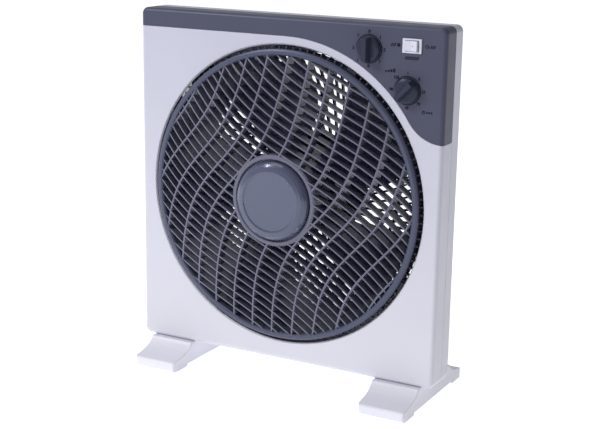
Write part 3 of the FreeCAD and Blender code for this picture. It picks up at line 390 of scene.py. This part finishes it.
def turning_arrow(cx, cz, radius, width):
    """Three quarters of a ring with an arrow head at its end."""
    tip = radius + width * 1.5
    back = radius - width * 1.5
    head = [(cx + back, cz), (cx + tip, cz), (cx + radius, cz - width * 2.4)]
    return [arc_band(cx, cz, radius, width, -180, 90), head[::-1]]


def disc_outline(cx, cz, radius, steps=20):
    turns = [2 * pi * i / steps for i in range(steps)]
    return [(cx + radius * cos(turn), cz + radius * sin(turn)) for turn in turns]


def panel_signs(made):
    """Signs in the places where the real panel has words, and a dark printed ring of painted shade in the gap
    round each dial.
    """
    rocker = middle("louver_switch")
    x, z = rocker.x - 0.0238, rocker.z - SIGN_H / 2
    print_shape("sign_louver_stop",
                slanted_bars(x, z, 3) + [block(x + 0.0072, z, SIGN_H, SIGN_H)], made)
    x = rocker.x + 0.0138
    print_shape("sign_louver_turn", turning_arrow(x + 0.0020, rocker.z, 0.0015, 0.0008)
                + slanted_bars(x + 0.0052, z, 3), made)
    print_shape("sign_louver", slanted_bars(rocker.x - 0.0080, rocker.z - 0.0140, 8), made)
    speed = middle("speed_shaft")
    x, z = speed.x + 0.0185, speed.z - 0.0217
    print_shape("sign_speed", [block(x + 0.0031 * i, z, 0.0023, 0.0013 + 0.0008 * i) for i in range(4)], made)
    timer = middle("timer_shaft")
    x, z = timer.x + 0.0168, timer.z - 0.0205
    clock = [arc_band(x + 0.0018, z, 0.0015, 0.0007, 0, 180),
             arc_band(x + 0.0018, z, 0.0015, 0.0007, 180, 360),
             block(x + 0.00145, z - 0.0001, 0.0007, 0.0012)]
    print_shape("sign_timer", clock + [block(x + 0.0048 + 0.0024 * i, z - 0.0010, 0.0016, 0.0020)
                                       for i in range(3)], made)
    # Painted shade: a dark printed ring stands for the shadowed gap round each knob.
    for name, at in (("speed", speed), ("timer", timer)):
        rings = [arc_band(at.x, at.z, GAP_SHADE_R, GAP_SHADE_W, a, a + 90, 18) for a in (0, 90, 180, 270)]
        print_shape(name + "_dial_gap_shade", rings, made)


def rocker_dot(made):
    """Small dark dot in the recess of the key."""
    key = middle("louver_rocker")
    tilt = Matrix.Rotation(radians(ROCKER_REST_DEG), 4, "Z")
    pivot = Matrix.Translation((middle("louver_switch").x, ROCKER_PIVOT_Y, key.z))
    print_shape("rocker_dot", [disc_outline(0.0016, 0, 0.00048)], made, "rocker",
                pivot @ tilt @ Matrix.Translation((0, -KEY_FACE, 0)))


# ------------------------------------------------------------------ stage
FLOOR_HALF = 12.0
FLOOR_GLOW = 0.75                       # keeps the floor as white as a paper sweep
SKY_LEFT, SKY_RIGHT = 0.62, 0.16        # the room is brighter on the left
CAMERA_PLACE = (0.66612, -1.24788, 0.53728)
CAMERA_YAW, CAMERA_PITCH, CAMERA_ROLL = radians(28.07), radians(14.03), radians(1.0)
CAMERA_LENS, CAMERA_SENSOR = 78.76, 36.0


def stage_floor():
    mesh = bpy.data.meshes.new("floor")
    half = FLOOR_HALF
    corners = [(-half, -half, 0), (half, -half, 0), (half, half, 0), (-half, half, 0)]
    mesh.from_pydata(corners, [], [(0, 1, 2, 3)])
    floor = bpy.data.objects.new("floor", mesh)
    bpy.context.scene.collection.objects.link(floor)
    r = Recipe("floor_paper")
    paper = r.colours(r.noise(3.0), (0.90, 0.90, 0.905, 1), (0.93, 0.93, 0.935, 1))
    r.link(paper, r.shader.inputs["Base Color"])
    r.link(paper, r.shader.inputs["Emission Color"])
    r.shader.inputs["Emission Strength"].default_value = FLOOR_GLOW
    r.shader.inputs["Roughness"].default_value = 0.9
    r.shader.inputs["Specular IOR Level"].default_value = 0.1
    mesh.materials.append(r.mat)


def softbox(name, place, aim, size, power):
    """Soft area lamp turned towards aim."""
    lamp = bpy.data.lights.new(name, "AREA")
    lamp.shape = "RECTANGLE"
    lamp.size, lamp.size_y = size
    lamp.energy = power
    obj = bpy.data.objects.new(name, lamp)
    obj.location = place
    obj.rotation_mode = "QUATERNION"
    obj.rotation_quaternion = (Vector(aim) - Vector(place)).to_track_quat("-Z", "Y")
    bpy.context.scene.collection.objects.link(obj)


def light_stage():
    world = bpy.data.worlds.new("studio")
    bpy.context.scene.world = world
    world.use_nodes = True
    tree = world.node_tree
    sky = tree.nodes["Background"]
    place = tree.nodes.new("ShaderNodeTexCoord")
    split = tree.nodes.new("ShaderNodeSeparateXYZ")
    tree.links.new(place.outputs["Generated"], split.inputs["Vector"])
    ramp = tree.nodes.new("ShaderNodeMapRange")
    for key, number in (("From Min", -1.0), ("From Max", 1.0), ("To Min", SKY_LEFT), ("To Max", SKY_RIGHT)):
        ramp.inputs[key].default_value = number
    tree.links.new(split.outputs["X"], ramp.inputs["Value"])
    tree.links.new(ramp.outputs["Result"], sky.inputs["Strength"])
    sky.inputs["Color"].default_value = (0.97, 0.98, 1.0, 1)
    softbox("key", (-1.5, -1.7, 1.9), (0, 0, 0.2), (0.8, 0.8), 44.0)
    softbox("top", (-0.4, 0.3, 2.2), (0, 0, 0.2), (1.0, 1.0), 5.0)


def look_through_camera():
    """The view of the part that the looks were set for."""
    data = bpy.data.cameras.new("camera")
    camera = bpy.data.objects.new("camera", data)
    bpy.context.scene.collection.objects.link(camera)
    yaw, pitch, roll = CAMERA_YAW, CAMERA_PITCH, CAMERA_ROLL
    ahead = Vector((-sin(yaw) * cos(pitch), cos(yaw) * cos(pitch), -sin(pitch)))
    right = Vector((cos(yaw), sin(yaw), 0))
    up = right.cross(ahead)
    side = right * cos(roll) + up * sin(roll)
    top = up * cos(roll) - right * sin(roll)
    data.sensor_width = CAMERA_SENSOR
    data.lens = CAMERA_LENS
    data.clip_start, data.clip_end = 0.05, 60.0
    place = Matrix((side, top, -ahead)).transposed().to_4x4()
    place.translation = CAMERA_PLACE
    camera.matrix_world = place
    bpy.context.scene.camera = camera


def main():
    look_through_camera()
    light_stage()
    stage_floor()
    bpy.context.scene.view_settings.view_transform = "Standard"
    made = finishes()
    made["print_dark"] = moulded("print_dark", srgb(18, 18, 27), 0.6, grain=0.0, specular=0.2)
    dress_cad(made)
    dial_numbers("speed", "speed_shaft", SPEED_LABELS, 0.0176, 0.0046, made)
    dial_numbers("timer", "timer_shaft", TIMER_LABELS, 0.0177, 0.0041, made, tight=5)
    panel_signs(made)
    rocker_dot(made)


main()
